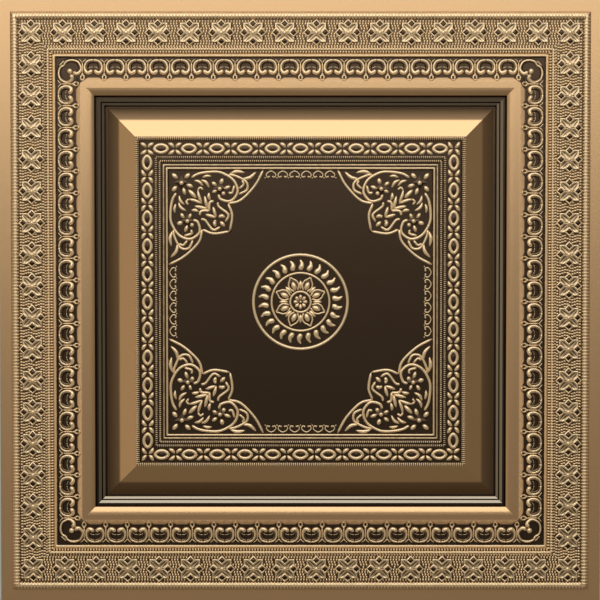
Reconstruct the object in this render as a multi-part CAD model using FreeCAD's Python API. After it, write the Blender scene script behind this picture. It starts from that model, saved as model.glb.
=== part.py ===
import FreeCAD, Part
import math
import os
from FreeCAD import Vector

# Pressed tin ceiling tile for a lay-in grid: one sheet of tinplate, pressed between two dies.
# The sheet lies face up. Its square section runs from the edge in to the centre panel, and the
# ornament stands up out of the section's flats, hollow behind. Millimetres, +Z out of the face.

# Sheet
TILE_SIDE = 603.0
GAUGE = 0.3
FLANGE_HEIGHT = 16.0

# Section from the edge inwards: widths, and rises out of the face
FLANGE_WIDTH = 11.5
OUTER_BEAD_WIDTH = 7.0
OUTER_BEAD_RISE = 1.8
FRIEZE_WIDTH = 28.0
INNER_BEAD_WIDTH = 3.5
INNER_BEAD_RISE = 1.2
BEAD_GAP = 2.2
RIDGE_WIDTH = 3.6
RIDGE_RISE = 1.5
SCROLL_BAND_DROP = 2.0
SCROLL_BAND_DROP_RUN = 1.5
SCROLL_BAND_WIDTH = 20.0
FRAME_RISE = 5.0
FRAME_RISE_RUN = 4.4
FRAME_HEAD_WIDTH = 5.8
ROLL_RADIUS = 13.0
ROLL_SWEEP = 36.0
WALL_RUN = 1.4
UPPER_LEDGE_WIDTH = 4.4
UPPER_LEDGE_HEIGHT = 9.0
LOWER_LEDGE_WIDTH = 2.3
LOWER_LEDGE_HEIGHT = 6.0
STEP_RUN = 1.1
GROOVE_WIDTH = 1.5
SLOPE_WIDTH = 29.1
SLOPE_RISE = 17.0
PANEL_BEAD_WIDTH = 3.6
PANEL_BEAD_RISE = 1.3
OVAL_BAND_DROP = 1.0
OVAL_BAND_DROP_RUN = 1.0
OVAL_BAND_WIDTH = 14.8
LACE_BEAD_WIDTH = 2.8
LACE_BEAD_RISE = 0.7
LACE_GAP = 0.6
PEARL_BEAD_WIDTH = 3.4
PEARL_BEAD_RISE = 1.2
LINE_GAP = 1.2
LINE_WIDTH = 2.0
LINE_RISE = 0.9
CENTRE_DROP = 1.2
CENTRE_DROP_RUN = 1.2
CENTRE_RIM = 1.0

# Frieze flowers: eight-sided blocks with a low crown
FLOWER_PITCH = 31.7
FLOWER_SIDE_RADIUS = 12.3
FLOWER_CORNER_RADIUS = 14.2
FLOWER_FLANK_RUN = 1.3
FLOWER_RISE = 1.3
FLOWER_CROWN_RISE = 0.4

# Scrolls
SCROLL_PITCH = 21.8
SCROLL_LENGTH = 17.4
SCROLL_BREADTH = 13.2
SCROLL_OPENING = 80.0
SCROLL_SPAN_COUNT = 4
SCROLL_CLEARANCE = 0.2
SCROLL_RIB_WIDTH = 3.0
SCROLL_RIB_RISE = 2.2

# The pair of scrolls grown together at a corner: half of its route, in parts of a scroll's breadth
CORNER_HALF_ROUTE = [
    (-0.43, -0.70), (-0.53, -0.99), (-0.06, -1.23), (0.39, -0.95), (0.50, -0.47), (0.37, -0.01), (0.18, 0.18),
]

# Ovals
OVAL_PITCH = 28.0
OVAL_LENGTH = 17.2
OVAL_BREADTH = 10.8
OVAL_RISE = 0.8
OVAL_SIDE_COUNT = 6

# Medallion: its first drop starts at a part of the drops' pitch
OUTER_RING_RADIUS = 47.2
OUTER_RING_WIDTH = 3.2
INNER_RING_RADIUS = 29.1
INNER_RING_WIDTH = 2.4
CORE_RING_RADIUS = 10.3
CORE_RING_WIDTH = 2.0
RING_RISE = 1.2
RING_SPAN_COUNT = 24
DROP_COUNT = 26
DROP_START = 0.4
DROP_CLEARANCE = 2.0
DROP_BREADTH = 4.4
DROP_BELLY = (0.18, 0.45)
DROP_RISE = 1.2
PETAL_COUNT = 8
PETAL_ROOT_RADIUS = 12.0
PETAL_CLEARANCE = 2.4
PETAL_BREADTH = 8.5
PETAL_BELLY = (0.33, 0.67)
PETAL_RISE = 1.2
ROSETTE_RADIUS = 7.2
ROSETTE_NOTCH_RADIUS = 5.2
ROSETTE_RISE = 1.4

# Corner fans: their outline is in parts of their length along the panel's side
FAN_GAP = 77.0
FAN_RIB_WIDTH = 2.4
FAN_RIB_RISE = 1.2
FAN_HALF_OUTLINE = [(0.99, 0.03), (0.92, 0.16), (0.77, 0.32), (0.63, 0.355), (0.68, 0.48), (0.655, 0.655)]
FAN_FLOWERS = [(0.13, 0.13), (0.545, 0.195), (0.195, 0.545)]
FAN_FLOWER_RADIUS = 7.5
FAN_FLOWER_NOTCH_RADIUS = 4.0


class SectionPen:
    """Draws the face's section in the plane y = 0, where x is half the side of a square."""

    def __init__(self, half_side, height):
        self.half_side = half_side
        self.height = height
        self.edges = []

    def here(self):
        return Vector(self.half_side, 0, self.height)

    def slope(self, run, rise):
        start = self.here()
        self.half_side -= run
        self.height += rise
        self.edges.append(Part.makeLine(start, self.here()))

    def flat(self, run):
        """A level stretch: returns the half side of its middle."""
        self.slope(run, 0)
        return self.half_side + run / 2

    def bead(self, width, rise):
        start = self.here()
        crown = Vector(self.half_side - width / 2, 0, self.height + rise)
        self.half_side -= width
        self.edges.append(Part.Arc(start, crown, self.here()).toShape())

    def ridge(self, width, rise):
        """A fine line: too narrow to be drawn round."""
        self.slope(width / 2, rise)
        self.slope(width / 2, -rise)

    def roll(self, radius, sweep):
        """An edge that turns down from level."""
        start = self.here()
        half = math.radians(sweep / 2)
        full = math.radians(sweep)
        crown = start + Vector(-radius * math.sin(half), 0, radius * (math.cos(half) - 1))
        self.half_side -= radius * math.sin(full)
        self.height += radius * (math.cos(full) - 1)
        self.edges.append(Part.Arc(start, crown, self.here()).toShape())

    def fall(self, run, height):
        """A steep face down to a height over the sheet's lowest flat."""
        self.slope(run, GAUGE + height - self.height)


def draw_section():
    """Returns the section's wire and the half sides of the lines that carry ornament."""
    pen = SectionPen(TILE_SIDE / 2, GAUGE + FLANGE_HEIGHT)
    lines = {}
    pen.flat(FLANGE_WIDTH)
    pen.bead(OUTER_BEAD_WIDTH, OUTER_BEAD_RISE)
    lines["frieze"] = pen.flat(FRIEZE_WIDTH)
    pen.ridge(INNER_BEAD_WIDTH, INNER_BEAD_RISE)
    pen.flat(BEAD_GAP)
    pen.ridge(RIDGE_WIDTH, RIDGE_RISE)
    pen.slope(SCROLL_BAND_DROP_RUN, -SCROLL_BAND_DROP)
    lines["scrolls"] = pen.half_side
    pen.flat(SCROLL_BAND_WIDTH)

    # The frame's head rolls over and drops to the groove by two ledges
    pen.slope(FRAME_RISE_RUN, FRAME_RISE)
    pen.flat(FRAME_HEAD_WIDTH)
    pen.roll(ROLL_RADIUS, ROLL_SWEEP)
    pen.fall(WALL_RUN, UPPER_LEDGE_HEIGHT)
    pen.flat(UPPER_LEDGE_WIDTH)
    pen.fall(STEP_RUN, LOWER_LEDGE_HEIGHT)
    pen.flat(LOWER_LEDGE_WIDTH)
    pen.fall(STEP_RUN, 0)
    pen.flat(GROOVE_WIDTH)

    # The raised panel
    pen.slope(SLOPE_WIDTH, SLOPE_RISE)
    pen.ridge(PANEL_BEAD_WIDTH, PANEL_BEAD_RISE)
    pen.slope(OVAL_BAND_DROP_RUN, -OVAL_BAND_DROP)
    lines["ovals"] = pen.flat(OVAL_BAND_WIDTH)
    pen.ridge(LACE_BEAD_WIDTH, LACE_BEAD_RISE)
    pen.flat(LACE_GAP)
    pen.ridge(PEARL_BEAD_WIDTH, PEARL_BEAD_RISE)
    for line in range(2):
        pen.flat(LINE_GAP)
        pen.ridge(LINE_WIDTH, LINE_RISE)
    pen.slope(CENTRE_DROP_RUN, -CENTRE_DROP)
    lines["centre"] = pen.half_side
    pen.flat(CENTRE_RIM)
    return Part.Wire(pen.edges), lines


def bare_skin(section):
    """The section carried round the square with mitred corners, closed by the centre panel."""
    side = max(vertex.X for vertex in section.Vertexes)
    corners = [(1, 0), (1, 1), (-1, 1), (-1, -1), (1, -1), (1, 0)]
    path = Part.makePolygon([Vector(x * side, y * side, 0) for x, y in corners])
    pipe = Part.BRepOffsetAPI.MakePipeShell(path)
    pipe.setTransitionMode(1)
    pipe.add(section, False, False)
    pipe.build()
    inner = min(section.Vertexes, key=lambda vertex: vertex.X)
    panel = Part.Face(square_wire(inner.X, inner.Z))
    bare = Part.makeCompound(pipe.shape().removeSplitter().Faces + [panel])
    bare.sewShape()
    return bare.removeSplitter().Faces


def square_wire(half_side, height):
    corners = [(1, 1), (-1, 1), (-1, -1), (1, -1), (1, 1)]
    return Part.makePolygon([Vector(x * half_side, y * half_side, height) for x, y in corners])


def facet(*points):
    return Part.Face(Part.makePolygon(list(points) + [points[0]]))


class Boss:
    """A raised ornament: its faces, and the wires where they meet the flat that it stands on."""

    def __init__(self, faces, feet):
        self.shape = Part.makeCompound(faces)
        self.feet = Part.makeCompound(feet)

    def placed(self, x, y, height, turn):
        placement = FreeCAD.Placement(Vector(x, y, height), FreeCAD.Rotation(turn, 0, 0))
        copy = Boss([], [])
        copy.shape = self.shape.transformed(placement.toMatrix())
        copy.feet = self.feet.transformed(placement.toMatrix())
        return copy


def pyramid(outline, apex):
    """A boss with straight flanks from its outline to one point."""
    faces = []
    for here, there in zip(outline, outline[1:] + outline[:1]):
        faces.append(facet(here, there, apex))
    return Boss(faces, [Part.makePolygon(outline + [outline[0]])])


def block(outline, top_share, rise, crown_rise):
    """A boss with steep flanks up to a smaller copy of its outline, and a low pyramid on that."""
    top = [point * top_share + Vector(0, 0, rise) for point in outline]
    faces = pyramid(top, Vector(0, 0, rise + crown_rise)).shape.Faces
    for k in range(len(outline)):
        faces.append(facet(outline[k - 1], outline[k], top[k], top[k - 1]))
    return Boss(faces, [Part.makePolygon(outline + [outline[0]])])


def star_outline(points, tip_radius, notch_radius):
    outline = []
    for k in range(2 * points):
        angle = math.pi * k / points
        radius = notch_radius if k % 2 else tip_radius
        outline.append(Vector(radius * math.cos(angle), radius * math.sin(angle), 0))
    return outline


def star(points, tip_radius, notch_radius, rise):
    return pyramid(star_outline(points, tip_radius, notch_radius), Vector(0, 0, rise))


def spindle(length, breadth, belly, rise):
    """A leaf along x with its root at the origin, broadest over its belly, in parts of its length."""
    start = length * belly[0]
    end = length * belly[1]
    outline = [
        Vector(0, 0, 0),
        Vector(start, -breadth / 2, 0),
        Vector(end, -breadth / 2, 0),
        Vector(length, 0, 0),
        Vector(end, breadth / 2, 0),
        Vector(start, breadth / 2, 0),
    ]
    return pyramid(outline, Vector((start + end) / 2, 0, rise))


def oval(length, breadth, rise):
    """A boss with its length along y and a point at each end."""
    outline = []
    for k in range(OVAL_SIDE_COUNT):
        angle = 2 * math.pi * k / OVAL_SIDE_COUNT
        outline.append(Vector(breadth / 2 * math.sin(angle), length / 2 * math.cos(angle), 0))
    return pyramid(outline, Vector(0, 0, rise))


def rib(route, width, rise):
    """A ridged rib along a route of points in the plane z = 0, with sloping ends."""
    left = []
    right = []
    for k, point in enumerate(route):
        before = route[max(k - 1, 0)]
        after = route[min(k + 1, len(route) - 1)]
        into = (point - before).normalize() if k else (after - point).normalize()
        out = (after - point).normalize() if k < len(route) - 1 else into
        mitre = (into + out).normalize()
        reach = width / 2 / mitre.dot(out)
        across = Vector(-mitre.y, mitre.x, 0) * reach
        left.append(point + across)
        right.append(point - across)
    crest = [point + Vector(0, 0, rise) for point in route]
    crest[0] += (route[1] - route[0]).normalize() * width / 2
    crest[-1] += (route[-2] - route[-1]).normalize() * width / 2
    faces = [facet(left[0], right[0], crest[0]), facet(left[-1], right[-1], crest[-1])]
    for k in range(len(route) - 1):
        for edge in (left, right):
            faces.append(facet(edge[k], edge[k + 1], crest[k]))
            faces.append(facet(edge[k + 1], crest[k + 1], crest[k]))
    outline = left + right[::-1]
    return Boss(faces, [Part.makePolygon(outline + [outline[0]])])


def ring(radius, width, rise):
    """A ridged rib that closes on itself."""
    crest = circle(radius, rise)
    faces = []
    feet = []
    for foot_radius in (radius + width / 2, radius - width / 2):
        foot = circle(foot_radius, 0)
        feet.append(Part.makePolygon(foot + foot[:1]))
        for k in range(RING_SPAN_COUNT):
            faces.append(facet(foot[k - 1], foot[k], crest[k], crest[k - 1]))
    return Boss(faces, feet)


def circle(radius, height):
    angles = [2 * math.pi * k / RING_SPAN_COUNT for k in range(RING_SPAN_COUNT)]
    return [Vector(radius * math.cos(a), radius * math.sin(a), height) for a in angles]


def four_sides(boss, along, line, height):
    """One boss on each side of the square, at the same place along the side."""
    bosses = []
    for turn in (0, 90, 180, 270):
        angle = math.radians(turn)
        x = line * math.cos(angle) - along * math.sin(angle)
        y = line * math.sin(angle) + along * math.cos(angle)
        bosses.append(boss.placed(x, y, height, turn))
    return bosses


def frieze_flowers(line, height):
    count = round(2 * line / FLOWER_PITCH)
    pitch = 2 * line / count
    outline = star_outline(4, FLOWER_SIDE_RADIUS, FLOWER_CORNER_RADIUS)
    boss = block(outline, 1 - FLOWER_FLANK_RUN / FLOWER_SIDE_RADIUS, FLOWER_RISE, FLOWER_CROWN_RISE)
    bosses = []
    for k in range(count):
        bosses += four_sides(boss, k * pitch - line, line, height)
    return bosses


def scrolls(outer_line, height):
    """C scrolls that open towards the centre, and at each corner a pair grown together."""
    route = []
    for k in range(SCROLL_SPAN_COUNT + 1):
        angle = math.radians((360 - SCROLL_OPENING) * (k / SCROLL_SPAN_COUNT - 0.5))
        route.append(Vector(SCROLL_BREADTH / 2 * math.cos(angle), SCROLL_LENGTH / 2 * math.sin(angle), 0))
    scroll = rib(route, SCROLL_RIB_WIDTH, SCROLL_RIB_RISE)
    mirrored = [(v, u) for u, v in CORNER_HALF_ROUTE[-2::-1]]
    route = [Vector(u * SCROLL_BREADTH, v * SCROLL_BREADTH, 0) for u, v in CORNER_HALF_ROUTE + mirrored]
    corner = rib(route, SCROLL_RIB_WIDTH, SCROLL_RIB_RISE)

    scroll_foot = scroll.feet.BoundBox
    corner_foot = corner.feet.BoundBox
    line = outer_line - SCROLL_CLEARANCE - max(scroll_foot.XMax, corner_foot.XMax)
    room = 2 * (line + corner_foot.YMin - scroll_foot.YMax - SCROLL_CLEARANCE)
    count = 1 + int(room / SCROLL_PITCH)
    bosses = four_sides(corner, line, line, height)
    for k in range(count):
        along = (k - (count - 1) / 2) * SCROLL_PITCH
        bosses += four_sides(scroll, along, line, height)
    return bosses


def ovals(line, height):
    count = round(2 * line / OVAL_PITCH)
    pitch = 2 * line / count
    boss = oval(OVAL_LENGTH, OVAL_BREADTH, OVAL_RISE)
    bosses = []
    for k in range(count):
        bosses += four_sides(boss, (k + 0.5) * pitch - line, line, height)
    return bosses


def medallion(height):
    bosses = [
        ring(OUTER_RING_RADIUS, OUTER_RING_WIDTH, RING_RISE).placed(0, 0, height, 0),
        ring(INNER_RING_RADIUS, INNER_RING_WIDTH, RING_RISE).placed(0, 0, height, 0),
        ring(CORE_RING_RADIUS, CORE_RING_WIDTH, RING_RISE).placed(0, 0, height, 0),
        star(8, ROSETTE_RADIUS, ROSETTE_NOTCH_RADIUS, ROSETTE_RISE).placed(0, 0, height, 0),
    ]
    petal_tip = INNER_RING_RADIUS - INNER_RING_WIDTH / 2 - PETAL_CLEARANCE
    petal = spindle(petal_tip - PETAL_ROOT_RADIUS, PETAL_BREADTH, PETAL_BELLY, PETAL_RISE)
    for k in range(PETAL_COUNT):
        bosses.append(around(petal, PETAL_ROOT_RADIUS, 360 * (k + 0.5) / PETAL_COUNT, height))
    drop_root = INNER_RING_RADIUS + INNER_RING_WIDTH / 2 + DROP_CLEARANCE
    drop_tip = OUTER_RING_RADIUS - OUTER_RING_WIDTH / 2 - DROP_CLEARANCE
    drop = spindle(drop_tip - drop_root, DROP_BREADTH, DROP_BELLY, DROP_RISE)
    for k in range(DROP_COUNT):
        bosses.append(around(drop, drop_root, 360 * (k + DROP_START) / DROP_COUNT, height))
    return bosses


def fans(half_side, height):
    """A fan in each corner of the centre panel: a ribbed outline with three flowers."""
    length = half_side - FAN_GAP / 2
    mirrored = [(v, u) for u, v in FAN_HALF_OUTLINE[-2::-1]]
    outline = [Vector(-u * length, -v * length, 0) for u, v in FAN_HALF_OUTLINE + mirrored]
    bosses = four_sides(rib(outline, FAN_RIB_WIDTH, FAN_RIB_RISE), half_side, half_side, height)
    flower = star(4, FAN_FLOWER_RADIUS, FAN_FLOWER_NOTCH_RADIUS, FAN_RIB_RISE)
    for u, v in FAN_FLOWERS:
        bosses += four_sides(flower, half_side - v * length, half_side - u * length, height)
    return bosses


def around(boss, radius, turn, height):
    angle = math.radians(turn)
    return boss.placed(radius * math.cos(angle), radius * math.sin(angle), height, turn)


def punch(face, bosses):
    """The face with a hole at the foot of every boss that stands on it."""
    wires = list(face.Wires)
    for boss in bosses:
        foot = boss.feet.Wires[0].Vertexes[0].Point
        if face.isInside(foot, GAUGE / 100, False):
            wires += boss.feet.Wires
    if len(wires) == len(face.Wires):
        return [face]
    return Part.makeFace(wires, "Part::FaceMakerBullseye").Faces


def skin(section, bosses, shift):
    """All faces of one side of the sheet; shift is its distance behind the bosses' own side."""
    moved = [boss.placed(0, 0, -shift, 0) for boss in bosses]
    faces = []
    for face in bare_skin(section):
        level = abs(abs(face.normalAt(0, 0).z) - 1) < 1e-9
        faces += punch(face, moved) if level else [face]
    for boss in moved:
        faces += boss.shape.Faces
    return faces


def ceiling_tile():
    section, lines = draw_section()
    back_section = section.makeOffset2D(GAUGE, 2, False, True)
    frieze_height = GAUGE + FLANGE_HEIGHT
    scroll_height = frieze_height - SCROLL_BAND_DROP
    oval_height = GAUGE + SLOPE_RISE - OVAL_BAND_DROP
    centre_height = oval_height - CENTRE_DROP
    bosses = frieze_flowers(lines["frieze"], frieze_height)
    bosses += scrolls(lines["scrolls"], scroll_height)
    bosses += ovals(lines["ovals"], oval_height)
    bosses += medallion(centre_height)
    bosses += fans(lines["centre"], centre_height)

    faces = skin(section, bosses, 0) + skin(back_section, bosses, GAUGE)
    edge = square_wire(TILE_SIDE / 2, frieze_height - GAUGE).extrude(Vector(0, 0, GAUGE))
    sheet = Part.makeCompound(faces + edge.Faces)
    sheet.sewShape()
    return Part.makeSolid(sheet.Shells[0])


os.makedirs("parts", exist_ok=True)
ceiling_tile().exportStep("parts/pressed_sheet.step")
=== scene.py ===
import math

import bpy
import numpy as np
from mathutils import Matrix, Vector


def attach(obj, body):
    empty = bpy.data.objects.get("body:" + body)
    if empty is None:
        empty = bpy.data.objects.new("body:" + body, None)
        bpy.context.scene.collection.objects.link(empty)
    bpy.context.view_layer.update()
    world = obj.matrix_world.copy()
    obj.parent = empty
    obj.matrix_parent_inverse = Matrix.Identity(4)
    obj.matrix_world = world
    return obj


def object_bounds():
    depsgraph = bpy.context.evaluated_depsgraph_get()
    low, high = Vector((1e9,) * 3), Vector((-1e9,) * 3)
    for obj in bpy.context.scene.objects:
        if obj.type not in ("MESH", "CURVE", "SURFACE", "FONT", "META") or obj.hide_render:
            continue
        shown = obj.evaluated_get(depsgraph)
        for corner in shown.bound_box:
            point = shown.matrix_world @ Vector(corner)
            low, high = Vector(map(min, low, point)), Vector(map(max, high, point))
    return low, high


# Pressed tin ceiling tile, lying face up and seen from almost straight above.
# The sheet is the frame's own node. Its fine relief is added here as closed forms that cover the
# sheet's plain bosses. They are drawn in millimetres, from the flat that each one stands on.

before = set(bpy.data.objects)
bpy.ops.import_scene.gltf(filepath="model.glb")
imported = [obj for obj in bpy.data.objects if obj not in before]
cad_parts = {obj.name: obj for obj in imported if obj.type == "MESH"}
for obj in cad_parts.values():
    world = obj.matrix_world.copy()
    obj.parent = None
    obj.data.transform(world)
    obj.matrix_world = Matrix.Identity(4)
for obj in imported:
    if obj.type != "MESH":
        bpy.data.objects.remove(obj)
cad_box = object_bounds()

MM = 0.001

# Gauge of the sheet, and how far the feet of the added forms reach into it
GAUGE = 0.3
SINK = 0.15

# Half side of the tile, and levels of the sheet's flats
EDGE = cad_box[1][0] / MM
HEAD_LEVEL = cad_box[1][2] / MM
FLANGE_LEVEL = HEAD_LEVEL - 3.0
SCROLL_LEVEL = HEAD_LEVEL - 5.0
LEDGE_LEVEL = GAUGE + 9.0
LEDGE_STEP = 3.0
OVAL_LEVEL = GAUGE + 16.0
CENTRE_LEVEL = OVAL_LEVEL - 1.2

# Rise of the sheet from the scroll band to the frame
FRAME_RISE_RUN = 4.4
FRAME_RISE = 5.0

# Lines of ornament, as half sides of squares
OUTER_BEAD_LINE = EDGE - 15.9
FRIEZE_LINE = EDGE - 32.5
INNER_BEAD_LINE = EDGE - 48.9
INNER_REED_LINE = INNER_BEAD_LINE + 0.4
INNER_BAR_LINE = INNER_BEAD_LINE - 0.2
DOT_LINE = EDGE - 51.9
RIDGE_LINE = EDGE - 55.3
SCROLL_LINE = EDGE - 65.9
FRAME_FOOT_LINE = EDGE - 77.3
FRAME_CORNER_LINE = EDGE - 89.5
ROLL_LINE = EDGE - 95.1
LEDGE_LINE = EDGE - 100.9
LOWER_LEDGE_LINE = EDGE - 104.3
SLOPE_FOOT_LINE = EDGE - 106.9
SLOPE_SHADE_LINE = EDGE - 119.2
TICK_LINE = EDGE - 137.8
OVAL_LINE = EDGE - 148.05
LACE_LINE = EDGE - 156.8
PEARL_LINE = EDGE - 160.55
OUTER_RULE_LINE = EDGE - 164.45
INNER_RULE_LINE = EDGE - 167.65
PANEL_LINE = EDGE - 169.85

# The sheet's own eight-sided blocks, which the frieze flowers lie on
BLOCK_SIDE_RADIUS = 12.3
BLOCK_CORNER_RADIUS = 14.2
BLOCK_FLANK_RUN = 1.3
BLOCK_RISE = 1.3
BLOCK_CROWN = 1.7

# Counts and pitches along the sides and round the medallion
FLOWER_COUNT = 17
FLOWER_PITCH = 2 * FRIEZE_LINE / FLOWER_COUNT
SCROLL_COUNT = 20
SCROLL_PITCH = 21.8
OVAL_COUNT = 11
OVAL_PITCH = 2 * OVAL_LINE / OVAL_COUNT
ARCH_COUNT = 6
ARCH_PITCH = 11.8
BEAD_REED_PITCH = 3.26
REED_PITCH = 2.86
PEARL_PITCH = 2.5
TICK_PITCH = 2.05
DROP_COUNT = 26
DROP_START = 0.4
PETAL_COUNT = 8

# Lift runs from 0 at a form's dark foot to 1 at its bright top; darker forms only reach these. The dark at
# feet, flanks and low parts is patina and painted shade together.
PIT_LIFT = 0.0
# Linings inside the scroll rings: dark bands that paint the shade there, and cover the sheet's ribs
SHADE_LINING_LIFT = 0.2
LACE_LIFT = 0.42
VEIN_LIFT = 0.45
OUTER_BAR_LIFT = 0.5
INNER_BAR_LIFT = 0.7
ECHO_LIFT = 0.7
HUB_LIFT = 0.75

# Share of its lift that a stroke keeps where it is lowest
LOW_LIFT = 0.6


# Routes and widths

def flow(points, steps=4):
    """A smooth route through given points (Catmull-Rom), with so many steps between two of them."""
    points = np.asarray(points, float)
    first = 2 * points[0] - points[1]
    last = 2 * points[-1] - points[-2]
    ends = np.vstack([first, points, last])
    t = np.linspace(0, 1, steps, endpoint=False)[:, None]
    parts = []
    for a, b, c, d in zip(ends[:-3], ends[1:-2], ends[2:-1], ends[3:]):
        square = a - 2.5 * b + 2 * c - d / 2
        cube = 1.5 * (b - c) + (d - a) / 2
        parts.append(b + t * (c - a) / 2 + t**2 * square + t**3 * cube)
    return np.vstack(parts + [points[-1:]])


def ellipse(half_length, half_breadth, steps, point=0.0):
    """A closed route; point draws its two ends out."""
    angle = np.arange(steps) * 2 * math.pi / steps
    y = half_breadth * np.sin(angle) * np.abs(np.sin(angle)) ** point
    return np.column_stack([half_length * np.cos(angle), y])


def even(count, width, tip=0.35):
    """Widths of a stroke with rounded ends."""
    widths = np.full(count, width, float)
    widths[[0, -1]] *= tip
    return widths


def leaf(count, width, fat_end=0.5):
    """Widths of a leaf, broadest at fat_end of its length."""
    tip = 0.2
    fullness = 0.7
    t = np.linspace(0, 1, count)
    power = math.log(0.5) / math.log(fat_end)
    return width * (tip + (1 - tip) * np.sin(math.pi * t**power) ** fullness)


def swell(count, widths):
    """Widths that run through the given ones, each keyed by its step along the route."""
    return np.interp(np.arange(count), list(widths), list(widths.values()))


# Closed forms: rows of x, y, z and lift, and faces

def loft(ring, count, closed):
    """Faces along a count of rings, with so many points in a ring."""
    faces = []
    for k in range(count if closed else count - 1):
        here = k * ring
        there = (k + 1) % count * ring
        for j in range(ring):
            i = (j + 1) % ring
            faces.append((here + j, here + i, there + i, there + j))
    return faces


def stroke(route, widths, rise, closed=False, sides=4):
    """A rounded bar along a route, lowest where it is narrowest."""
    taper = 0.6
    mitre_limit = 0.5
    route = np.asarray(route, float)
    widths = np.broadcast_to(np.asarray(widths, float), len(route))
    ahead = np.roll(route, -1, 0) - route
    if not closed:
        ahead[-1] = ahead[-2]
    ahead /= np.linalg.norm(ahead, axis=1)[:, None]
    behind = np.roll(ahead, 1, 0)
    if not closed:
        behind[0] = ahead[0]
    along = ahead + behind
    along /= np.linalg.norm(along, axis=1)[:, None]
    reach = widths / 2 / np.maximum((along * ahead).sum(1), mitre_limit)
    across = np.column_stack([-along[:, 1], along[:, 0]]) * reach[:, None]
    turn = np.linspace(-math.pi / 2, math.pi / 2, sides + 1)
    rises = rise * (widths / widths.max()) ** taper
    points = []
    for centre, side, height in zip(route, across, rises):
        # Lift falls towards the flanks and on the low parts: patina and painted shade together.
        brightness = LOW_LIFT + (1 - LOW_LIFT) * height / rise
        for angle in turn:
            lift = math.cos(angle)
            x, y = centre + side * math.sin(angle)
            points.append((x, y, (height + SINK) * lift - SINK, lift * brightness))
    ring = sides + 1
    count = len(route)
    faces = loft(ring, count, closed)
    if not closed:
        faces.append(tuple(range(ring))[::-1])
        faces.append(tuple(range((count - 1) * ring, count * ring)))
    return np.array(points), faces


def ball(x, y, radius, rise, steps=8):
    """A low dome, of rows at shares of its radius."""
    profile = ((1.0, 0.0), (0.86, 0.55), (0.5, 0.88))
    angles = np.arange(steps) * 2 * math.pi / steps
    points = []
    for share, lift in profile:
        reach = radius * share
        height = (rise + SINK) * lift - SINK
        for angle in angles:
            points.append((x + reach * math.cos(angle), y + reach * math.sin(angle), height, lift))
    points.append((x, y, rise, 1.0))
    faces = [tuple(range(steps))[::-1]]
    for k in range(steps):
        j = (k + 1) % steps
        for row_start in (0, steps):
            faces.append((row_start + k, row_start + j, row_start + steps + j, row_start + steps + k))
        faces.append((2 * steps + k, 2 * steps + j, 3 * steps))
    return np.array(points), faces


def tick(length, width, rise, foot_lift):
    """A tiny bar along y with sloping sides, for rows of hundreds."""
    inset = 0.3 * width
    points = []
    for x, y, height, lift in ((width / 2, length / 2, -SINK, foot_lift),
                               (width / 2 - inset, length / 2 - inset, rise, 1)):
        points += [(a * x, b * y, height, lift) for a, b in ((-1, -1), (1, -1), (1, 1), (-1, 1))]
    faces = [(3, 2, 1, 0), (4, 5, 6, 7)]
    faces += [(k, (k + 1) % 4, (k + 1) % 4 + 4, k + 4) for k in range(4)]
    return np.array(points, float), faces


def patch(places, tops, lifts):
    """A thin closed plate over a grid of places, with the given heights on its upper side."""
    rows, columns = tops.shape
    upper = np.column_stack([places.reshape(-1, 2), tops.ravel(), lifts.ravel()])
    lower = upper.copy()
    lower[:, 2] = -SINK
    lower[:, 3] = 0
    below = rows * columns
    faces = []
    for i in range(rows - 1):
        for j in range(columns - 1):
            a = i * columns + j
            b = a + columns
            faces.append((a, b, b + 1, a + 1))
            faces.append((a + below, a + 1 + below, b + 1 + below, b + below))
    rim = [i * columns for i in range(rows)]
    rim += [(rows - 1) * columns + j for j in range(1, columns)]
    rim += [i * columns + columns - 1 for i in range(rows - 2, -1, -1)]
    rim += [j for j in range(columns - 2, 0, -1)]
    for here, there in zip(rim, rim[1:] + rim[:1]):
        faces.append((here, here + below, there + below, there))
    return np.vstack([upper, lower]), faces


def square_bar(line, width, rise):
    """A mitred square; points close to its corners keep the shading straight along its sides."""
    near = line - width
    corner = [(line, near), (line, line), (near, line)]
    route = []
    for quarter in range(4):
        route += corner
        corner = [(-y, x) for x, y in corner]
    return stroke(route, width, rise, closed=True, sides=6)


def square_wedge(line, width, rise):
    """A mitred square of wedges that climb outwards from the line."""
    thin_edge = 0.05
    profile = [(0, -SINK), (0, thin_edge), (width, rise), (width, -SINK)]
    corners = [(1, 1), (-1, 1), (-1, -1), (1, -1)]
    points = []
    for a, b in corners:
        points += [(a * (line + out), b * (line + out), height, 1) for out, height in profile]
    return np.array(points, float), loft(len(profile), len(corners), closed=True)


# Copies of forms

def darkened(form, lift):
    points, faces = form
    return points * [1, 1, 1, lift], faces


def merged(forms):
    points = []
    faces = []
    count = 0
    for form_points, form_faces in forms:
        points.append(form_points)
        faces += [tuple(corner + count for corner in face) for face in form_faces]
        count += len(form_points)
    return np.vstack(points), faces


def turned_over(faces):
    """The faces of a mirrored form, which look outwards again."""
    return [face[::-1] for face in faces]


def mirrored_in_x(form):
    points, faces = form
    return points * [-1, 1, 1, 1], turned_over(faces)


def mirrored_in_y(form):
    points, faces = form
    return points * [1, -1, 1, 1], turned_over(faces)


def mirrored_on_diagonal(form):
    points, faces = form
    return points[:, [1, 0, 2, 3]], turned_over(faces)


def moved(form, x=0.0, y=0.0, turn=0.0):
    """The form turned, in degrees, and then shifted."""
    points, faces = form
    points = points.copy()
    angle = math.radians(turn)
    east = points[:, 0] * math.cos(angle) - points[:, 1] * math.sin(angle) + x
    north = points[:, 0] * math.sin(angle) + points[:, 1] * math.cos(angle) + y
    points[:, 0] = east
    points[:, 1] = north
    return points, faces


def mirrored_pair(form):
    return merged([form, mirrored_in_x(form)])


def four_sides(form):
    return merged([moved(form, turn=turn) for turn in (0, 90, 180, 270)])


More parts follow.
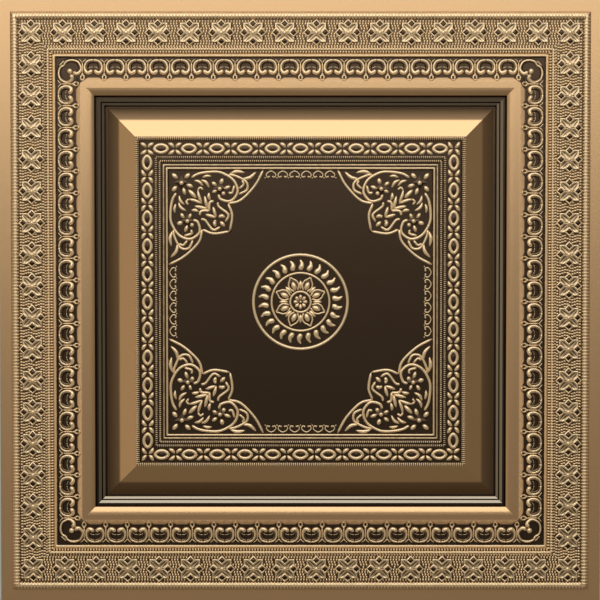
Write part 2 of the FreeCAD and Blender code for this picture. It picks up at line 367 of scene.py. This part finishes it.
def row(form, line, places):
    """Copies along the side at y = line, repeated on all four sides."""
    return four_sides(merged([moved(form, x=place, y=line) for place in places]))


def centred(count, pitch):
    """Places along a side, as many on the left as on the right."""
    return (np.arange(count) - (count - 1) / 2) * pitch


def from_corner(line, count, pitch):
    """Places along a side, with the first one at its left corner."""
    return np.arange(count) * pitch - line


def fill(line, pitch):
    """Places along a side from corner to corner, about a pitch apart."""
    count = round(2 * line / pitch)
    return (np.arange(count) + 0.5) * 2 * line / count - line


# Frieze

def block_height(x, y):
    """Height of the sheet's own block over the frieze's ground."""
    sector = math.pi / 4
    angle = np.abs((np.arctan2(y, x) + sector) % (2 * sector) - sector)
    slant = BLOCK_SIDE_RADIUS * np.sin(angle) + BLOCK_CORNER_RADIUS * np.sin(sector - angle)
    outline = BLOCK_SIDE_RADIUS * BLOCK_CORNER_RADIUS * math.sin(sector) / slant
    top_share = 1 - BLOCK_FLANK_RUN / BLOCK_SIDE_RADIUS
    return np.interp(np.hypot(x, y) / outline, [0, top_share, 1], [BLOCK_CROWN, BLOCK_RISE, 0])


def dished_petal():
    """A petal on the diagonal: a dish with raised edges and fine grooves that run out from the hub."""
    hub = np.array([0.1, 0.1])
    side = np.array([9.6, 3.9])
    tip = np.array([9.8, 9.8])
    bulge = np.array([0.3, -1.6])
    floor_height = 0.25
    edge_height = 1.35
    groove_height = 0.13
    floor_lift = 0.28
    edge_lift = 0.45
    groove_lift = 0.2
    groove_waves = 2
    hub_height_share = 0.5
    hub_lift_share = 0.2
    edge_power = 2.5
    grid = 9
    steps = np.linspace(0, 1, grid)
    u, v = np.meshgrid(steps, steps, indexing="ij")
    p = u[..., None]
    q = v[..., None]
    places = (1 - p) * (1 - q) * hub + p * (1 - q) * side + p * q * tip + (1 - p) * q * side[::-1]
    places += 4 * p * (1 - p) * (1 - q) * bulge + 4 * q * (1 - q) * (1 - p) * bulge[::-1]
    out = (u + v) / 2
    edge = np.maximum(np.abs(2 * u - 1), np.abs(2 * v - 1)) ** edge_power
    grooves = np.cos(2 * math.pi * groove_waves * (u - v)) * np.sin(math.pi * out)
    growth = hub_height_share + (1 - hub_height_share) * out
    brightening = hub_lift_share + (1 - hub_lift_share) * out
    tops = floor_height + edge_height * edge * growth + groove_height * grooves
    lifts = floor_lift + edge_lift * edge * brightening + groove_lift * grooves
    return patch(places, tops, lifts)


def pit_floor(x, radius, rim_height):
    """A hollow four-sided floor, deepest in its middle."""
    corners = [(x + radius, 0), (x, radius), (x - radius, 0), (x, -radius)]
    points = [(a, b, rim_height, PIT_LIFT) for a, b in corners]
    points += [(a, b, -SINK, PIT_LIFT) for a, b in corners]
    points.append((x, 0, 0, PIT_LIFT))
    faces = [(7, 6, 5, 4)]
    for k in range(4):
        j = (k + 1) % 4
        faces.append((k + 4, j + 4, j, k))
        faces.append((k, j, 8))
    return np.array(points, float), faces


def star_flower():
    """A square flower: four dished petals round a low hub, and four pits in diamond rims between them."""
    pit = 8.75
    reach = 4.0
    diamond = [(pit + reach, 0), (pit, reach), (pit - reach, 0), (pit, -reach)]
    rim = stroke(diamond, widths=1.7, rise=2.2, closed=True)
    quarter = merged([dished_petal(), pit_floor(pit, reach, rim_height=1.6), rim])
    hub = darkened(ball(0, 0, radius=2.4, rise=1.6), HUB_LIFT)
    points, faces = merged([four_sides(quarter), hub])
    points[:, 2] += block_height(points[:, 0], points[:, 1])
    return points, faces


def frieze_flowers():
    return row(star_flower(), FRIEZE_LINE, from_corner(FRIEZE_LINE, FLOWER_COUNT, FLOWER_PITCH))


def frieze_ground():
    """Wavy reeds across the flat between the flowers, each a string of pearls."""
    first_line = INNER_BEAD_LINE + 2.6
    last_line = OUTER_BEAD_LINE - 3.0
    wave_reach = 0.8
    wave_stretch = 2.0
    flower_half_side = 10.8
    flower_half_diagonal = 14.4
    pearl = tick(length=3.2, width=2.2, rise=1.2, foot_lift=0.1)
    rows = []
    for line in np.arange(first_line, last_line, PEARL_PITCH):
        wave = wave_reach * math.sin((line - FRIEZE_LINE) / wave_stretch)
        places = centred(2 * int(line / REED_PITCH) + 1, REED_PITCH) + wave
        past_flower = (places + FRIEZE_LINE) % FLOWER_PITCH
        along = np.minimum(past_flower, FLOWER_PITCH - past_flower)
        across = abs(line - FRIEZE_LINE)
        clear = (np.maximum(along, across) > flower_half_side) & (along + across > flower_half_diagonal)
        rows.append(row(pearl, line, places[clear]))
    return merged(rows)


def frieze_edges():
    """The reeded outer and inner beads, the dotted row beside them, and the plain ridge."""
    outer_reed = tick(length=7.6, width=2.3, rise=3.2, foot_lift=0.25)
    inner_reed = tick(length=4.8, width=2.0, rise=2.4, foot_lift=0.3)
    dot = tick(length=3.2, width=2.4, rise=1.4, foot_lift=0.2)
    return merged([
        row(outer_reed, OUTER_BEAD_LINE, fill(OUTER_BEAD_LINE, BEAD_REED_PITCH)),
        darkened(square_bar(OUTER_BEAD_LINE, width=6.4, rise=2.2), OUTER_BAR_LIFT),
        row(inner_reed, INNER_REED_LINE, fill(INNER_BEAD_LINE, REED_PITCH)),
        darkened(square_bar(INNER_BAR_LINE, width=2.8, rise=1.7), INNER_BAR_LIFT),
        row(dot, DOT_LINE, fill(DOT_LINE, REED_PITCH)),
        square_bar(RIDGE_LINE, width=2.8, rise=2.0),
    ])


# Scroll band

def c_scroll():
    """A ring whose two ends swell and curl in; y points out of the tile."""
    half_route = flow([(-2.0, -3.6), (-2.8, -5.6), (-6.0, -6.5), (-8.3, -3.4), (-8.2, 1.4), (-5.4, 5.2),
                       (0.0, 6.4)])
    half_widths = swell(len(half_route), {0: 3.6, 4: 5.2, 8: 4.6, 13: 3.0, 24: 2.8})
    shade_lining_route = flow([(-6.0, -4.2), (-6.8, 0.0), (-4.6, 3.9), (0.0, 5.1)], steps=5)
    vein_route = flow([(-5.2, -2.9), (-3.4, -1.1), (0, -0.6)])
    return mirrored_pair(merged([
        stroke(half_route, half_widths, rise=3.6),
        # Dark lining inside the ring: painted shade, which also covers the sheet's rib
        darkened(stroke(shade_lining_route, widths=3.8, rise=2.35), SHADE_LINING_LIFT),
        darkened(stroke(vein_route, even(len(vein_route), width=1.0), rise=0.7), VEIN_LIFT),
    ]))


def pendant():
    """A small drop on a forked stem, between two scrolls; its drop hangs on the frame's rise."""
    drop = stroke(ellipse(half_length=2.5, half_breadth=1.8, steps=12), widths=2.0, rise=2.0, closed=True)
    stem_route = flow([(0, -7.6), (0, -2.0), (0, 3.6)], steps=3)
    fork_route = flow([(0.2, 3.4), (1.4, 5.4), (4.0, 7.2)], steps=3)
    points, faces = merged([
        moved(drop, y=-11.2, turn=90),
        stroke(stem_route, even(len(stem_route), width=1.7, tip=0.6), rise=1.3),
        mirrored_pair(stroke(fork_route, even(len(fork_route), width=1.3), rise=1.0)),
        ball(0, -7.8, radius=1.4, rise=2.0, steps=6),
    ])
    climb = (FRAME_FOOT_LINE - SCROLL_LINE - points[:, 1]) / FRAME_RISE_RUN
    points[:, 2] += FRAME_RISE * np.clip(climb, 0, 1)
    return points, faces


def corner_scroll():
    """Two scrolls grown together round the band's corner, with a ball between their ends."""
    half_route = flow([(-9.4, -5.2), (-10.2, -7.0), (-12.6, -7.4), (-15.6, -4.6), (-16.1, -1.0),
                       (-13.0, 4.4), (-6.6, 6.1), (-1.2, 4.4), (0.8, 0.8)])
    half_widths = swell(len(half_route), {0: 3.6, 4: 5.2, 8: 4.6, 14: 3.0, 32: 2.8})
    shade_lining_route = flow([(-13.4, -6.4), (-15.6, -0.8), (-12.2, 4.4), (-6.2, 6.1), (-0.4, 4.6),
                         (2.2, 2.2)], steps=5)
    echo_route = flow([(0.2, 5.6), (3.0, 3.0), (5.6, 0.2)])
    half = merged([
        stroke(half_route, half_widths, rise=3.8),
        # Dark lining inside the rings: painted shade, which also covers the sheet's rib
        darkened(stroke(shade_lining_route, widths=4.4, rise=2.35), SHADE_LINING_LIFT),
    ])
    corner = merged([
        half,
        mirrored_on_diagonal(half),
        darkened(stroke(echo_route, even(len(echo_route), width=2.0), rise=2.3), ECHO_LIFT),
        ball(-5.0, -5.0, radius=3.2, rise=2.8),
    ])
    return moved(corner, x=SCROLL_LINE, y=SCROLL_LINE)


def scroll_band():
    return merged([
        row(c_scroll(), SCROLL_LINE, centred(SCROLL_COUNT, SCROLL_PITCH)),
        row(pendant(), SCROLL_LINE, centred(SCROLL_COUNT + 1, SCROLL_PITCH)),
        four_sides(corner_scroll()),
    ])


def groove_lips():
    """Lips on the two ledges over the groove, which slope to the middle of the tile."""
    upper = square_wedge(LEDGE_LINE, width=2.6, rise=1.6)
    points, faces = square_wedge(LOWER_LEDGE_LINE, width=2.2, rise=1.35)
    points[:, 2] -= LEDGE_STEP
    return merged([upper, (points, faces)])


# Border of the raised panel

def oval_ring():
    route = ellipse(half_length=6.7, half_breadth=4.0, steps=24, point=0.35)
    return stroke(route, widths=3.7, rise=2.3, closed=True)


def leaf_cross():
    """Four leaves between two ovals."""
    route = flow([(0.8, 1.0), (2.9, 3.6), (6.8, 5.6)])
    pair = mirrored_pair(stroke(route, leaf(len(route), width=4.4, fat_end=0.55), rise=2.1))
    return merged([pair, moved(pair, turn=180)])


def panel_border():
    """From the slope's head inwards: a ticked bead, ovals, lace, pearls and two rules."""
    bead_tick = tick(length=4.4, width=1.5, rise=2.9, foot_lift=0.2)
    lace = darkened(tick(length=3.0, width=1.4, rise=1.0, foot_lift=0.2), LACE_LIFT)
    pearl = tick(length=2.4, width=1.7, rise=1.7, foot_lift=0.2)
    return merged([
        row(bead_tick, TICK_LINE, fill(TICK_LINE, TICK_PITCH)),
        row(oval_ring(), OVAL_LINE, centred(OVAL_COUNT, OVAL_PITCH)),
        row(leaf_cross(), OVAL_LINE, from_corner(OVAL_LINE, OVAL_COUNT, OVAL_PITCH)),
        row(lace, LACE_LINE, fill(LACE_LINE, TICK_PITCH)),
        row(pearl, PEARL_LINE, fill(PEARL_LINE, TICK_PITCH)),
        darkened(square_bar(OUTER_RULE_LINE, width=2.1, rise=1.1), LACE_LIFT),
        square_bar(INNER_RULE_LINE, width=2.1, rise=1.2),
    ])


# Centre panel: routes and widths of the fans, from the inner rule's top left corner, x to the right
# and y down

FAN_STEMS = [
    ([(96.5, 1.9), (88.1, 17.3), (74.0, 31.8), (61.2, 35.3)], 2.0),
    ([(61.2, 35.3), (65.4, 46.8), (63.1, 62.8)], 2.0),
    ([(24.7, 9.3), (31.7, 5.5), (43.3, 3.6), (54.8, 4.5), (67.0, 12.2), (70.8, 23.7), (63.8, 32.7),
      (54.2, 31.1), (51.6, 26.3)], 2.1),
    ([(61.8, 6.1), (68.9, 7.7), (79.5, 13.5), (80.1, 21.5), (72.1, 26.0)], 1.9),
    ([(75.3, 12.2), (76.9, 16.1), (72.4, 20.5)], 1.8),
    ([(61.5, 24.4), (65.4, 24.4), (67.5, 17.3)], 1.9),
    ([(30.8, 22.2), (33.3, 19.4), (36.5, 21.5)], 1.7),
    ([(50.9, 34.0), (52.2, 38.5), (61.5, 46.2), (58.6, 53.5)], 1.9),
    ([(47.1, 32.7), (42.9, 34.6), (42.3, 43.0)], 2.1),
]
FAN_LEAVES = [
    ([(63.1, 5.2), (70.2, 3.2), (78.2, 4.4)], 2.8),
    ([(75.3, 10.6), (83.0, 9.3), (89.4, 3.6)], 2.8),
    ([(35.6, 9.0), (40.1, 7.7), (44.9, 8.0)], 2.2),
    ([(27.2, 12.2), (32.4, 13.5), (36.5, 17.7)], 2.4),
    ([(34.3, 11.6), (39.4, 14.1), (42.6, 19.6)], 2.4),
    ([(44.9, 13.8), (50.0, 17.3)], 2.8),
    ([(55.8, 10.0), (54.0, 15.9)], 3.4),
    ([(57.0, 20.5), (63.8, 18.0)], 2.8),
    ([(55.1, 23.7), (58.3, 26.6)], 3.2),
    ([(50.3, 22.1), (45.2, 24.1)], 2.6),
    ([(23.1, 5.2), (17.9, 10.0)], 3.4),
    ([(19.5, 16.2), (26.6, 18.6)], 3.0),
    ([(30.8, 21.5), (32.4, 28.2), (35.2, 35.0)], 2.4),
    ([(37.8, 27.6), (39.1, 34.0), (40.4, 40.4)], 2.6),
    ([(42.1, 24.4), (42.0, 28.2), (43.3, 32.1)], 2.6),
    ([(46.1, 38.5), (47.7, 43.6), (49.3, 49.1)], 2.6),
    ([(52.6, 46.8), (58.3, 48.9)], 2.9),
]
FAN_DIAGONAL_LEAVES = [
    ([(5.0, 5.4), (11.0, 10.2)], 3.4),
    ([(21.5, 21.5), (29.6, 29.6)], 3.2),
    ([(53.2, 53.2), (58.2, 58.2)], 3.0),
]
FAN_BALLS = [(52.9, 20.5, 2.4), (48.2, 53.2, 1.9)]
FAN_CORNER_BALL = (14.6, 14.6, 2.6)
FAN_WEIGHT = 1.55


def fan_stem(points, width):
    route = flow(points, steps=5)
    return stroke(route, even(len(route), width * FAN_WEIGHT, tip=0.5), rise=1.7)


def fan_leaf(points, width):
    route = flow(points, steps=5 if len(points) > 2 else 6)
    return stroke(route, leaf(len(route), width * FAN_WEIGHT), rise=1.9)


def fan():
    """Foliage in one corner of the panel: half of it is drawn, and mirrored on the diagonal."""
    half = merged(
        [fan_stem(points, width) for points, width in FAN_STEMS]
        + [fan_leaf(points, width) for points, width in FAN_LEAVES]
        + [ball(x, y, radius, rise=1.9) for x, y, radius in FAN_BALLS]
    )
    forms = [half, mirrored_on_diagonal(half)]
    forms += [fan_leaf(points, width) for points, width in FAN_DIAGONAL_LEAVES]
    forms.append(ball(*FAN_CORNER_BALL, rise=2.0))
    points, faces = merged(forms)
    points[:, 0] = points[:, 0] - INNER_RULE_LINE
    points[:, 1] = INNER_RULE_LINE - points[:, 1]
    return points, turned_over(faces)


def arch():
    """A small arch that hangs from the inner rule, open towards the centre, with curled ends."""
    route = flow([(-2.0, -6.4), (-4.0, -6.6), (-4.5, -3.4), (0.0, -0.6), (4.5, -3.4), (4.0, -6.6),
                  (2.0, -6.4)])
    bar = stroke(route, even(len(route), width=1.5, tip=0.9), rise=1.3)
    curls = [ball(x, -6.3, radius=1.2, rise=1.5, steps=6) for x in (-1.9, 1.9)]
    return merged([bar] + curls)


def panel_arches():
    dot = ball(0, -7.4, radius=0.9, rise=1.1, steps=6)
    return merged([
        row(arch(), PANEL_LINE, centred(ARCH_COUNT, ARCH_PITCH)),
        row(dot, PANEL_LINE, centred(ARCH_COUNT + 1, ARCH_PITCH)),
    ])


def circle_bar(radius, width, rise, steps, sides=4):
    return stroke(ellipse(radius, radius, steps), width, rise, closed=True, sides=sides)


def ray_leaf(start, step, width, rise, fat_end=0.5):
    """A leaf along x, pointing away from the medallion's middle."""
    count = 6
    route = [(start + step * k, 0) for k in range(count)]
    return stroke(route, leaf(count, width, fat_end), rise)


def medallion_drop():
    """A plump, slightly bent drop between the two outer rings."""
    route = flow([(32.0, 0.5), (34.2, 0.4), (36.8, -0.5), (39.4, -0.2), (42.2, 1.4)], steps=3)
    return stroke(route, swell(len(route), {0: 3.4, 2: 5.8, 5: 6.2, 8: 4.6, 12: 1.8}), rise=2.1)


def medallion_petal():
    """A pointed outline with a bud in it."""
    outline = flow([(11.8, 1.8), (16.4, 4.8), (20.8, 4.4), (23.6, 2.2), (26.4, 0.1)])
    edge = stroke(outline, widths=2.0, rise=1.6)
    bud = ray_leaf(start=12.6, step=1.8, width=6.0, rise=2.0)
    return merged([edge, mirrored_in_y(edge), bud])


def medallion():
    """Three rings with drops, petals and seeds between them, and a ball in the middle."""
    forms = [
        circle_bar(radius=47.2, width=3.4, rise=1.9, steps=120, sides=6),
        circle_bar(radius=29.0, width=2.6, rise=1.6, steps=80),
        circle_bar(radius=10.3, width=2.5, rise=1.7, steps=40),
        ball(0, 0, radius=1.5, rise=2.0),
    ]
    drop = medallion_drop()
    for k in range(DROP_COUNT):
        forms.append(moved(drop, turn=(k + DROP_START) * 360 / DROP_COUNT))
    petal = medallion_petal()
    sepal = ray_leaf(start=12.4, step=1.8, width=4.2, rise=1.7)
    seed = ray_leaf(start=1.8, step=1.1, width=4.2, rise=1.9, fat_end=0.65)
    for k in range(PETAL_COUNT):
        turn = k * 360 / PETAL_COUNT
        forms.append(moved(petal, turn=turn + 180 / PETAL_COUNT))
        forms.append(moved(sepal, turn=turn))
        forms.append(moved(seed, turn=turn))
    return merged(forms)


# Materials

GOLD = (0.69, 0.40, 0.168, 1)
WORN_GOLD = (1.0, 0.71, 0.38, 1)
# Pale gold of the frame's rise: a painted sheen
PAINTED_SHEEN_GOLD = (1.0, 0.61, 0.29, 1)
BROWN = (0.24, 0.14, 0.062, 1)
PATINA = (0.08, 0.048, 0.026, 1)
TIN = (0.42, 0.40, 0.37, 1)
RUBBED_TIN = (0.33, 0.26, 0.17, 1)
FLOOR_GREY = (0.82, 0.81, 0.79, 1)

# Uneven wear of the raised gold, as a span of lifts
WEAR = 0.3

# Amounts of gold on the slope's low band, where less gold is painted shade, and on the frieze's ground
SLOPE_PAINTED_SHADE_GOLD = 0.26
GROUND_GOLD = 0.15

# Half the breadth of the soft edge over the slope's low band
SHADE_BLUR = 0.4

# Surfaces of the sheet
FACE_METALLIC = 0.92
RISE_METALLIC = 0.05
FACE_ROUGHNESS = 0.3
SLOPE_ROUGHNESS = 0.1
SHADED_ROUGHNESS = 0.5
FLANGE_ROUGHNESS = 0.34

# Scallops of the frame's gold between the pendants
SCALLOP_DEPTH = 2.2

# Height of the metal's fine grain, in metres
GRAIN = 0.0004


class Graph:
    """Builds the nodes of one material."""

    def __init__(self, name):
        self.material = bpy.data.materials.new(name)
        self.material.use_nodes = True
        self.nodes = self.material.node_tree.nodes
        self.links = self.material.node_tree.links
        self.shader = self.nodes["Principled BSDF"]
        self.place = self.nodes.new("ShaderNodeTexCoord").outputs["Object"]

    def feed(self, socket, value):
        if isinstance(value, bpy.types.NodeSocket):
            self.links.new(value, socket)
        else:
            socket.default_value = value

    def shade(self, name, value):
        """Sets one input of the surface."""
        self.feed(self.shader.inputs[name], value)

    def math(self, operation, *values):
        node = self.nodes.new("ShaderNodeMath")
        node.operation = operation
        for socket, value in zip(node.inputs, values):
            self.feed(socket, value)
        return node.outputs[0]

    def split(self, vector):
        node = self.nodes.new("ShaderNodeSeparateXYZ")
        self.feed(node.inputs[0], vector)
        return node.outputs

    def mix(self, factor, low, high):
        node = self.nodes.new("ShaderNodeMix")
        node.data_type = "RGBA"
        colours = [socket for socket in node.inputs if socket.type == "RGBA"]
        self.feed(node.inputs["Factor"], factor)
        self.feed(colours[0], low)
        self.feed(colours[1], high)
        return next(socket for socket in node.outputs if socket.type == "RGBA")

    def ramp(self, factor, stops):
        """A value that runs through (position, value) stops."""
        node = self.nodes.new("ShaderNodeValToRGB")
        elements = node.color_ramp.elements
        elements[0].position = stops[0][0]
        elements[1].position = stops[-1][0]
        for position, value in stops[1:-1]:
            elements.new(position)
        for element, (position, value) in zip(elements, stops):
            element.color = (value, value, value, 1)
        self.feed(node.inputs["Fac"], factor)
        return node.outputs["Color"]

    def zones(self, share, stops):
        """A ramp over shares of the tile's half side, with its stops at lines of the tile."""
        return self.ramp(share, [(line / EDGE, value) for line, value in stops])

    def noise(self, scale, detail):
        node = self.nodes.new("ShaderNodeTexNoise")
        node.inputs["Scale"].default_value = scale
        node.inputs["Detail"].default_value = detail
        self.feed(node.inputs["Vector"], self.place)
        return node.outputs["Fac"]

    def bump(self, height, strength):
        node = self.nodes.new("ShaderNodeBump")
        node.inputs["Strength"].default_value = strength
        node.inputs["Distance"].default_value = GRAIN
        self.feed(node.inputs["Height"], height)
        self.shade("Normal", node.outputs["Normal"])


def raised_material():
    """Gold worn bright on top of the raised work, with patina and painted shade round its feet."""
    graph = Graph("raised_gold_lacquer")
    lift = graph.nodes.new("ShaderNodeAttribute")
    lift.attribute_name = "lift"
    wear = graph.math("MULTIPLY_ADD", graph.noise(scale=160, detail=4), WEAR, -WEAR / 2)
    amount = graph.math("ADD", lift.outputs["Fac"], wear)
    gold = graph.mix(graph.ramp(amount, [(0.2, 0), (0.5, 1)]), BROWN, WORN_GOLD)
    cover = graph.ramp(amount, [(0.05, 0), (0.3, 1)])
    graph.shade("Base Color", graph.mix(cover, PATINA, gold))
    graph.shade("Metallic", graph.ramp(amount, [(0.1, 0.95), (0.6, 0.62)]))
    graph.shade("Roughness", 0.3)
    graph.bump(graph.noise(scale=900, detail=3), strength=0.1)
    return graph.material


def lip_material():
    """Lacquer rubbed thin over tin."""
    graph = Graph("rubbed_lips")
    graph.shade("Base Color", RUBBED_TIN)
    graph.shade("Metallic", 1.0)
    graph.shade("Roughness", 0.2)
    return graph.material


def sheet_material():
    """Gold or patina by the square that a point of the sheet lies on, and bare tin behind."""
    graph = Graph("sheet_gold_lacquer")
    place = graph.split(graph.place)
    x = graph.math("ABSOLUTE", place["X"])
    y = graph.math("ABSOLUTE", place["Y"])
    share = graph.math("DIVIDE", graph.math("MAXIMUM", x, y), EDGE * MM)
    cover = graph.ramp(gold_amount(graph, share, x, y), [(0.1, 0), (0.5, 1)])
    metal = sheet_metal(graph, share)
    # Pale gold where the metal falls away, on the frame's rise: a painted sheen
    face = graph.mix(cover, PATINA, graph.mix(metal, PAINTED_SHEEN_GOLD, GOLD))
    geometry = graph.nodes.new("ShaderNodeNewGeometry")
    normal = graph.split(geometry.outputs["True Normal"])
    behind = graph.math("LESS_THAN", normal["Z"], -0.02)
    graph.shade("Base Color", graph.mix(behind, face, TIN))
    graph.shade("Metallic", metal)
    graph.shade("Roughness", sheet_roughness(graph, share))
    graph.shade("Coat Weight", graph.math("MULTIPLY", cover, 0.6))
    graph.shade("Coat Roughness", 0.45)
    graph.bump(graph.noise(scale=700, detail=3), strength=0.08)
    return graph.material


def gold_amount(graph, share, x, y):
    """Gold on the flange, ridge, frame and slope, with painted shade on the slope's low band; little or
    none on the other zones.
    """
    inner = graph.zones(share, [
        (PANEL_LINE, 0.0), (TICK_LINE + 0.2, 0.1), (TICK_LINE + 0.8, 1.0),
        # Less gold on the slope's low band: painted shade
        (SLOPE_SHADE_LINE - SHADE_BLUR, 1.0), (SLOPE_SHADE_LINE + SHADE_BLUR, SLOPE_PAINTED_SHADE_GOLD),
        (SLOPE_FOOT_LINE - 0.2, SLOPE_PAINTED_SHADE_GOLD), (SLOPE_FOOT_LINE + 0.2, 0.0),
        (ROLL_LINE, 0.0), (ROLL_LINE + 0.5, 1.0),
    ])
    reach = frame_reach(graph, x, y)
    fringe = graph.zones(reach, [(FRAME_FOOT_LINE - 0.8, 1.0), (FRAME_FOOT_LINE, 0.0)])
    outer = graph.zones(share, [
        (RIDGE_LINE - 1.4, 0.0), (RIDGE_LINE - 0.8, 1.0), (RIDGE_LINE + 1.2, 0.8),
        (RIDGE_LINE + 1.6, GROUND_GOLD), (OUTER_BEAD_LINE - 3.0, GROUND_GOLD), (OUTER_BEAD_LINE, 0.35),
        (OUTER_BEAD_LINE + 3.2, 0.4), (OUTER_BEAD_LINE + 3.8, 1.0),
    ])
    return graph.math("MULTIPLY_ADD", inner, fringe, outer)


def frame_reach(graph, x, y):
    """How far out a point lies for the frame's gold, rounded at the corners and scalloped at the sides."""
    corner = FRAME_CORNER_LINE * MM
    beyond_x = graph.math("MAXIMUM", graph.math("SUBTRACT", x, corner), 0.0)
    beyond_y = graph.math("MAXIMUM", graph.math("SUBTRACT", y, corner), 0.0)
    square_x = graph.math("MULTIPLY", beyond_x, beyond_x)
    square_y = graph.math("MULTIPLY", beyond_y, beyond_y)
    distance = graph.math("SQRT", graph.math("ADD", square_x, square_y))
    reach = graph.math("ADD", distance, corner)
    along = graph.math("MINIMUM", x, y)
    wave = graph.math("COSINE", graph.math("MULTIPLY", along, 2 * math.pi / (SCROLL_PITCH * MM)))
    scallop = graph.math("MULTIPLY", graph.math("MAXIMUM", wave, 0.0), SCALLOP_DEPTH * MM)
    return graph.math("DIVIDE", graph.math("ADD", reach, scallop), EDGE * MM)


def sheet_metal(graph, share):
    """Metal everywhere but on the frame's rise, which is pale and hardly metal: a painted sheen."""
    rise_head_line = FRAME_FOOT_LINE - FRAME_RISE_RUN
    return graph.zones(share, [
        (rise_head_line - 0.8, FACE_METALLIC), (rise_head_line, RISE_METALLIC),
        (FRAME_FOOT_LINE, RISE_METALLIC), (FRAME_FOOT_LINE + 0.4, FACE_METALLIC),
    ])


def sheet_roughness(graph, share):
    """Smoothest on the slope, and dull on its low band."""
    return graph.zones(share, [
        (TICK_LINE, FACE_ROUGHNESS), (TICK_LINE + 1.0, SLOPE_ROUGHNESS),
        (SLOPE_SHADE_LINE - SHADE_BLUR, SLOPE_ROUGHNESS), (SLOPE_SHADE_LINE + SHADE_BLUR, SHADED_ROUGHNESS),
        (SLOPE_FOOT_LINE, SHADED_ROUGHNESS), (SLOPE_FOOT_LINE + 1.0, FACE_ROUGHNESS),
        (FRAME_FOOT_LINE, FACE_ROUGHNESS), (OUTER_BEAD_LINE, FLANGE_ROUGHNESS),
    ])


# Pieces

def make_piece(name, form, level, material, smooth=True):
    points, faces = form
    mesh = bpy.data.meshes.new(name)
    places = points[:, :3] * MM
    places[:, 2] += level * MM
    mesh.from_pydata(places.tolist(), [], faces)
    lift = mesh.attributes.new("lift", "FLOAT", "POINT")
    lift.data.foreach_set("value", points[:, 3].astype(np.float32))
    mesh.polygons.foreach_set("use_smooth", np.full(len(mesh.polygons), smooth))
    mesh.materials.append(material)
    mesh.update()
    piece = bpy.data.objects.new(name, mesh)
    bpy.context.scene.collection.objects.link(piece)
    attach(piece, "root")


def dress():
    """Colours the sheet and lays the relief on it."""
    raised = raised_material()
    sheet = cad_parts["pressed_sheet"]
    sheet.data.materials.clear()
    sheet.data.materials.append(sheet_material())
    make_piece("frieze_flowers", frieze_flowers(), FLANGE_LEVEL, raised)
    make_piece("frieze_ground", frieze_ground(), FLANGE_LEVEL, raised)
    make_piece("frieze_edges", frieze_edges(), FLANGE_LEVEL, raised)
    make_piece("scroll_band", scroll_band(), SCROLL_LEVEL, raised)
    make_piece("groove_lips", groove_lips(), LEDGE_LEVEL, lip_material(), smooth=False)
    make_piece("panel_border", panel_border(), OVAL_LEVEL, raised)
    make_piece("corner_fans", four_sides(fan()), CENTRE_LEVEL, raised)
    make_piece("panel_arches", panel_arches(), CENTRE_LEVEL, raised)
    make_piece("medallion", medallion(), CENTRE_LEVEL, raised)


# Stage, in metres

def floor():
    bpy.ops.mesh.primitive_plane_add(size=8)
    plane = bpy.context.object
    plane.name = "floor"
    material = bpy.data.materials.new("pale_floor")
    material.use_nodes = True
    shader = material.node_tree.nodes["Principled BSDF"]
    shader.inputs["Base Color"].default_value = FLOOR_GREY
    shader.inputs["Roughness"].default_value = 0.9
    plane.data.materials.append(material)


def area_light(name, place, size, radiance, colour):
    """A panel that faces the middle of the tile; its power follows from its size and radiance."""
    width, height = size
    lamp = bpy.data.lights.new(name, "AREA")
    lamp.shape = "RECTANGLE"
    lamp.size = width
    lamp.size_y = height
    lamp.energy = math.pi * width * height * radiance
    lamp.color = colour
    light = bpy.data.objects.new(name, lamp)
    bpy.context.scene.collection.objects.link(light)
    light.location = place
    light.rotation_euler = (Vector((0, 0, 0)) - Vector(place)).to_track_quat("-Z", "Y").to_euler()


def lights():
    """A large soft panel from the picture's top down to the zenith, and a weak one on its left."""
    area_light("key_light", place=(-0.05, 1.31, 1.59), size=(2.8, 2.5), radiance=1.7,
               colour=(0.92, 1.0, 1.12))
    area_light("fill_light", place=(-2.4, 0, 1.5), size=(2.0, 2.0), radiance=0.25,
               colour=(1.0, 0.95, 0.88))
    world = bpy.data.worlds.new("studio")
    world.use_nodes = True
    background = world.node_tree.nodes["Background"]
    background.inputs["Color"].default_value = (1.0, 0.96, 0.9, 1)
    background.inputs["Strength"].default_value = 0.2
    bpy.context.scene.world = world


def camera():
    """Almost straight above, a little towards the picture's top; the tile fills the square frame."""
    distance = 2.2
    tilt = math.radians(2.2)
    aim_height = 0.017
    seen_width = 0.6016
    picture_side = 600
    pixels_right = -0.5
    pixels_up = 1.9
    lens = bpy.data.cameras.new("camera")
    lens.sensor_width = 36
    lens.lens = lens.sensor_width * distance / seen_width
    lens.shift_x = pixels_right / picture_side
    lens.shift_y = pixels_up / picture_side
    eye = bpy.data.objects.new("camera", lens)
    bpy.context.scene.collection.objects.link(eye)
    eye.location = (0, distance * math.sin(tilt), aim_height + distance * math.cos(tilt))
    eye.rotation_euler = (-tilt, 0, 0)
    bpy.context.scene.camera = eye


dress()
floor()
lights()
camera()
bpy.context.scene.view_settings.view_transform = "Standard"
